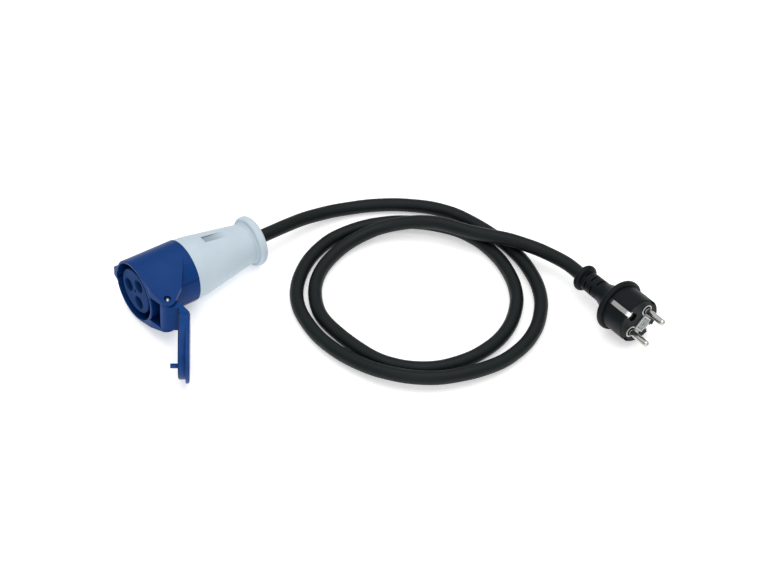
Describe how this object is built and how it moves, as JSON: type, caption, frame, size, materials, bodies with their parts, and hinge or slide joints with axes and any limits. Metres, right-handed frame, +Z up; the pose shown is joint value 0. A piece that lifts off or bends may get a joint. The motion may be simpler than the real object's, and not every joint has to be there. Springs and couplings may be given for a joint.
{
  "type": "power adapter cable",
  "caption": "Adapter lead: a round coupler socket with a hinged lid and a tapered grip, a rubber cable in loose turns, and a moulded round plug with a collar and straight pins.",
  "frame": {"origin": "a point on the coupler's axis, 1 mm behind the face of the contact carrier", "axes": "+X out of the coupler's mouth, +Y to the side of the lid's hinge, +Z up from the surface it lies on"},
  "size_m": [0.3156, 0.2842, 0.0509],
  "materials": {
    "blue_housing": "satin moulded plastic",
    "pale_housing": "fine matt moulded plastic",
    "black_rubber": "matt rubber jacket",
    "black_moulding": "satin moulded rubber",
    "seal_rubber": "soft seal rubber",
    "contact_brass": "turned brass",
    "zinc_steel": "zinc plated",
    "nickel_pin": "nickel plated, satin",
    "grey_insert": "pale grey moulded plastic",
    "wire_brown": "wire insulation",
    "wire_blue": "wire insulation",
    "wire_green": "wire insulation"
  },
  "bodies": {
    "housing": {"sleeve": "blue_housing", "contact_carrier": "blue_housing", "contact_line": "contact_brass", "contact_neutral": "contact_brass", "contact_earth": "contact_brass", "terminal_screws": "zinc_steel", "hinge_pin": "zinc_steel", "grip": "pale_housing", "housing_seal": "seal_rubber", "cable_clamp": "grey_insert", "clamp_screws": "zinc_steel", "cable_seal": "seal_rubber", "core_line": "wire_brown", "core_neutral": "wire_blue", "core_earth": "wire_green", "cable": "black_rubber", "plug_body": "black_moulding", "pin_bridge": "grey_insert", "plug_pin_line": "nickel_pin", "plug_pin_neutral": "nickel_pin", "earth_clip_upper": "nickel_pin", "earth_clip_lower": "nickel_pin", "earth_socket": "nickel_pin"},
    "lid": {"lid": "blue_housing", "lid_gasket": "seal_rubber"}
  },
  "joints": [
    {"name": "lid_hinge", "type": "hinge", "parent": "housing", "child": "lid", "pos_m": [-0.00549, 0.033, -0.00041], "axis": [-0.0737, 0, 0.9973], "range_deg": [-146, 0]}
  ]
}
